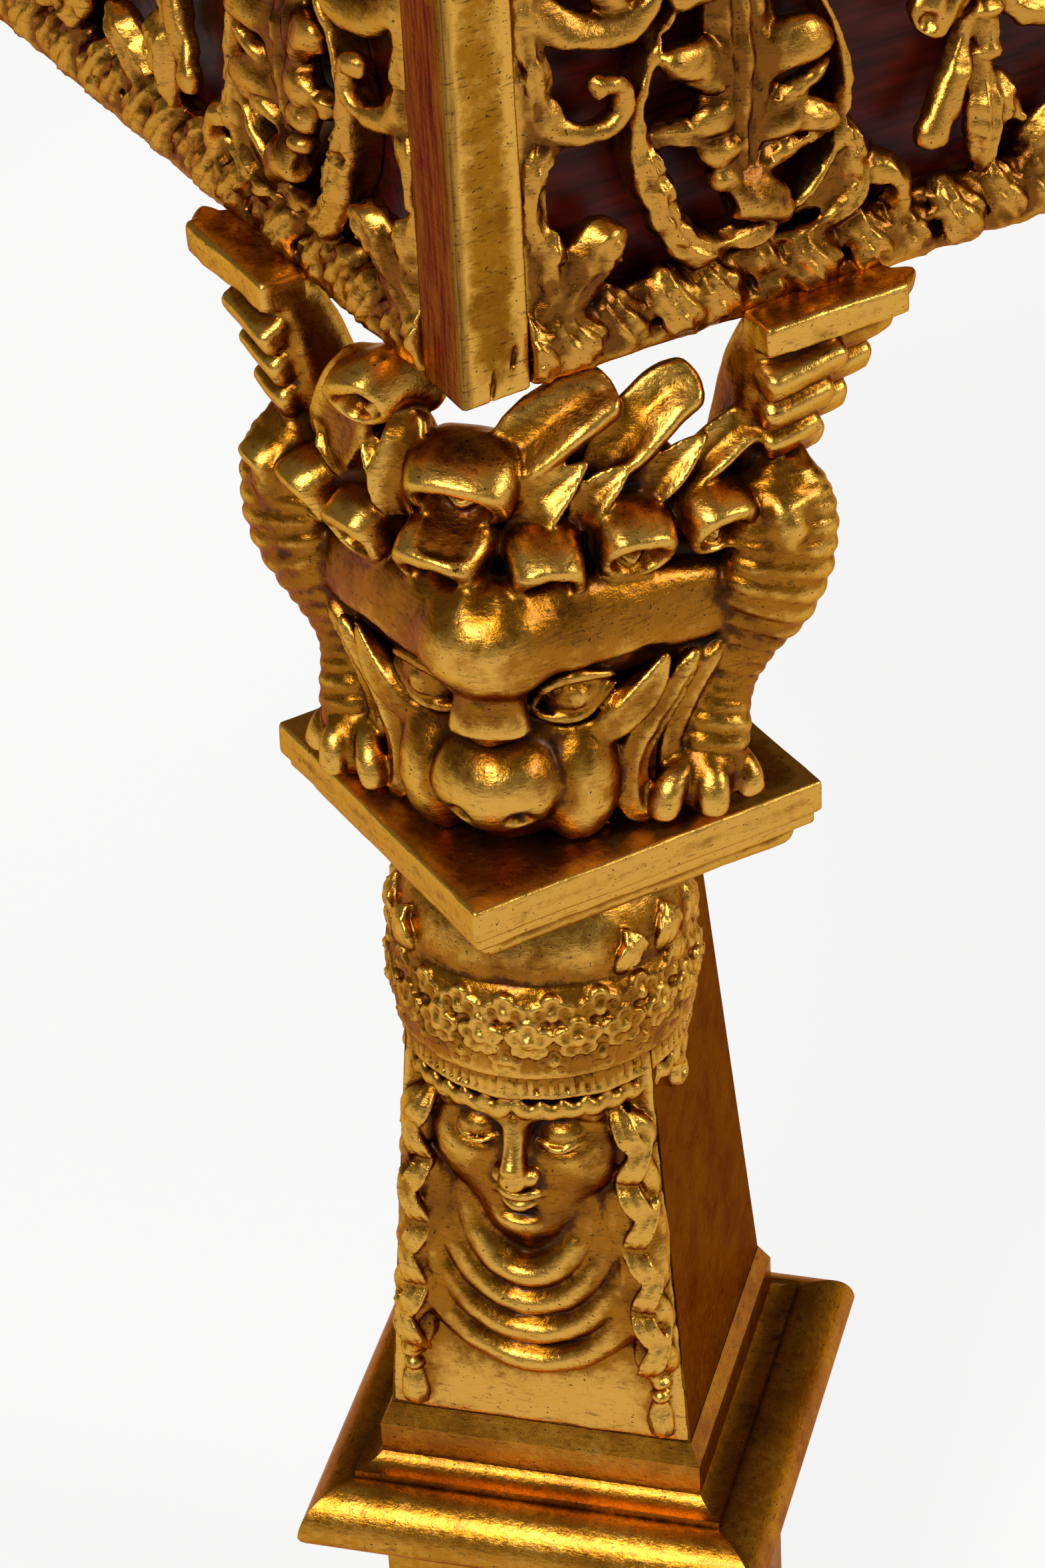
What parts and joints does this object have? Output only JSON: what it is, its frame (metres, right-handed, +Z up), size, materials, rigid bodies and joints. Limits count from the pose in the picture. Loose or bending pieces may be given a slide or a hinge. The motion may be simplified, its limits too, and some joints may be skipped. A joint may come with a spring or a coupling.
{
  "type": "games table",
  "caption": "Square gilt games table: openwork apron over dark red panels, winged-lion and caryatid legs, and a lift-off chequered top over a games well.",
  "frame": {"origin": "on the floor under the middle of the top", "axes": "+Z up, -Y towards the front, +X to the right; the table is square"},
  "size_m": [1.186, 1.186, 0.79],
  "materials": {
    "gilt_wood": "leaf gilding, toned and rubbed",
    "red_lacquer": "dark red stain and varnish",
    "red_veneer": "polished red-brown veneer",
    "dark_inlay": "polished ebonised veneer",
    "light_inlay": "polished pale veneer",
    "well_veneer": "waxed veneer with inlaid points",
    "beech": "planed, unfinished"
  },
  "bodies": {
    "frame": {"abacus_back_left": "gilt_wood", "abacus_back_right": "gilt_wood", "abacus_front_left": "gilt_wood", "abacus_front_right": "gilt_wood", "abacus_moulding_back_left": "gilt_wood", "abacus_moulding_back_right": "gilt_wood", "abacus_moulding_front_left": "gilt_wood", "abacus_moulding_front_right": "gilt_wood", "apron_board_back": "red_lacquer", "apron_board_front": "red_lacquer", "apron_board_left": "red_lacquer", "apron_board_right": "red_lacquer", "caryatid_back_left": "gilt_wood", "caryatid_back_right": "gilt_wood", "caryatid_front_left": "gilt_wood", "caryatid_front_right": "gilt_wood", "corner_blocks": "beech", "corner_post_back_left": "gilt_wood", "corner_post_back_right": "gilt_wood", "corner_post_front_left": "gilt_wood", "corner_post_front_right": "gilt_wood", "floor_bearers": "beech", "foot_back_left": "gilt_wood", "foot_back_right": "gilt_wood", "foot_front_left": "gilt_wood", "foot_front_right": "gilt_wood", "fret_back": "gilt_wood", "fret_front": "gilt_wood", "fret_left": "gilt_wood", "fret_right": "gilt_wood", "herm_back_left": "gilt_wood", "herm_back_right": "gilt_wood", "herm_base_back_left": "gilt_wood", "herm_base_back_right": "gilt_wood", "herm_base_front_left": "gilt_wood", "herm_base_front_right": "gilt_wood", "herm_front_left": "gilt_wood", "herm_front_right": "gilt_wood", "leg_dowels": "beech", "lion_capital_back_left": "gilt_wood", "lion_capital_back_right": "gilt_wood", "lion_capital_front_left": "gilt_wood", "lion_capital_front_right": "gilt_wood", "pedestal_die_back_left": "gilt_wood", "pedestal_die_back_right": "gilt_wood", "pedestal_die_front_left": "gilt_wood", "pedestal_die_front_right": "gilt_wood", "well_floor": "well_veneer", "wing_dowels": "beech"},
    "top": {"board_border": "gilt_wood", "dark_squares": "dark_inlay", "light_squares": "light_inlay", "top_battens": "beech", "top_board": "red_veneer", "top_rail_back": "gilt_wood", "top_rail_front": "gilt_wood", "top_rail_left": "gilt_wood", "top_rail_right": "gilt_wood"}
  },
  "joints": [
    {"name": "top_lift", "type": "slide", "parent": "frame", "child": "top", "axis": [0, 0, 1], "range_m": [0, 0.3]}
  ]
}
